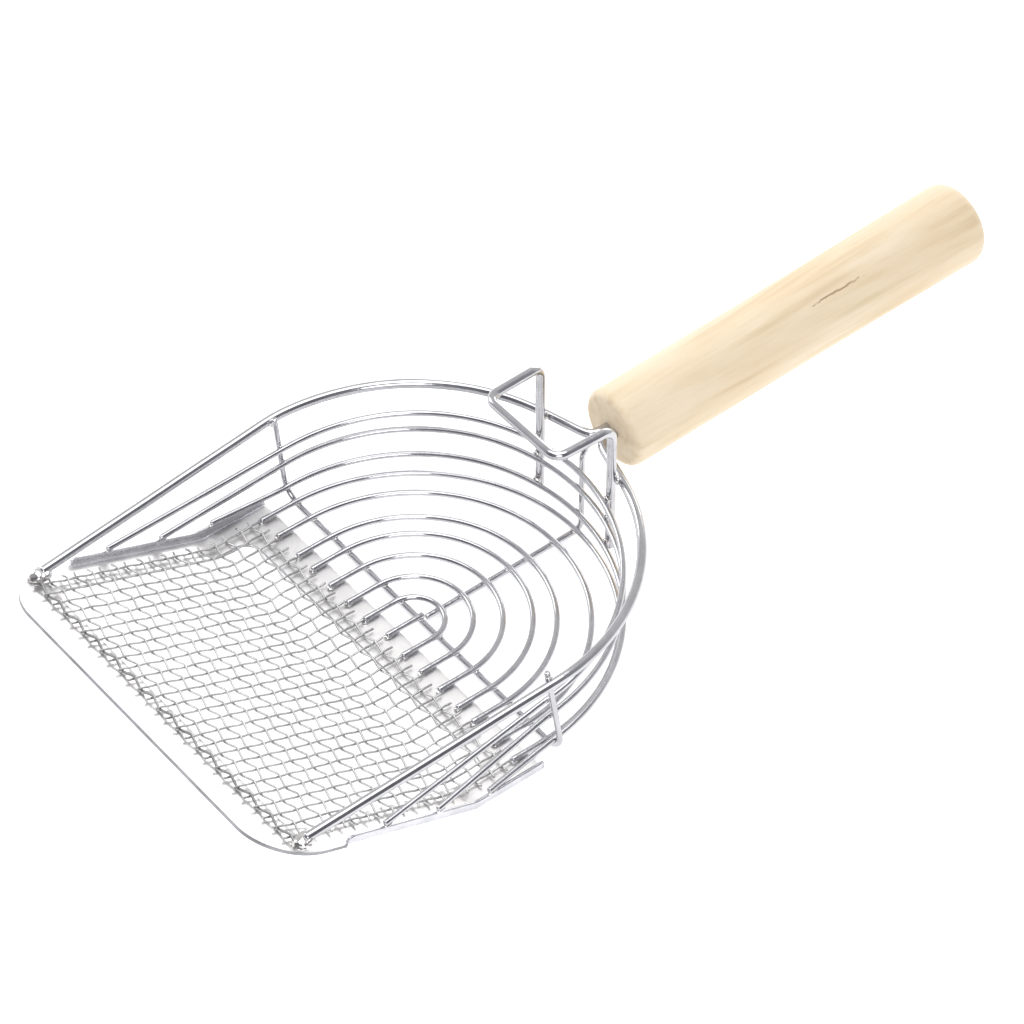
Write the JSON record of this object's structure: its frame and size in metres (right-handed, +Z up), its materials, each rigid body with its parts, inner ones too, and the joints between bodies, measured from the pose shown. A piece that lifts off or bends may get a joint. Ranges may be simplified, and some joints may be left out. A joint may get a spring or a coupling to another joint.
{
  "type": "sand scoop",
  "caption": "Sifting scoop: a welded wire basket with a woven mesh behind a flat lip, a wire hook at the rim and a straight wooden handle.",
  "frame": {"origin": "under the middle of the scoop's length and width, on the surface that it stands on", "axes": "+Y from the lip to the handle, +Z up out of the basket's mouth, +X to the right when looking from the lip towards the handle"},
  "size_m": [0.148, 0.3378, 0.0634],
  "materials": {
    "chrome_wire": "bright chrome plating on steel wire",
    "chrome_plate": "polished chrome plating on sheet steel",
    "mesh_wire": "plated woven steel wire, slightly duller than the basket",
    "braze": "plated braze, lumpy and shiny",
    "wood": "pale sanded wood, thin clear finish"
  },
  "bodies": {
    "root": {"rim_wire_right": "chrome_wire", "rim_wire_left": "chrome_wire", "floor_wire_1": "chrome_wire", "floor_wire_2": "chrome_wire", "floor_wire_3": "chrome_wire", "floor_wire_4": "chrome_wire", "floor_wire_5": "chrome_wire", "floor_wire_6": "chrome_wire", "floor_wire_7": "chrome_wire", "top_side_wire": "chrome_wire", "middle_side_wire": "chrome_wire", "bottom_side_wire": "chrome_wire", "cross_rib": "chrome_wire", "rear_rib": "chrome_wire", "front_stub": "chrome_wire", "bucket_hook": "chrome_wire", "plate_frame": "chrome_plate", "sifting_mesh": "mesh_wire", "corner_braze_left": "braze", "corner_braze_right": "braze", "handle": "wood"}
  },
  "joints": []
}
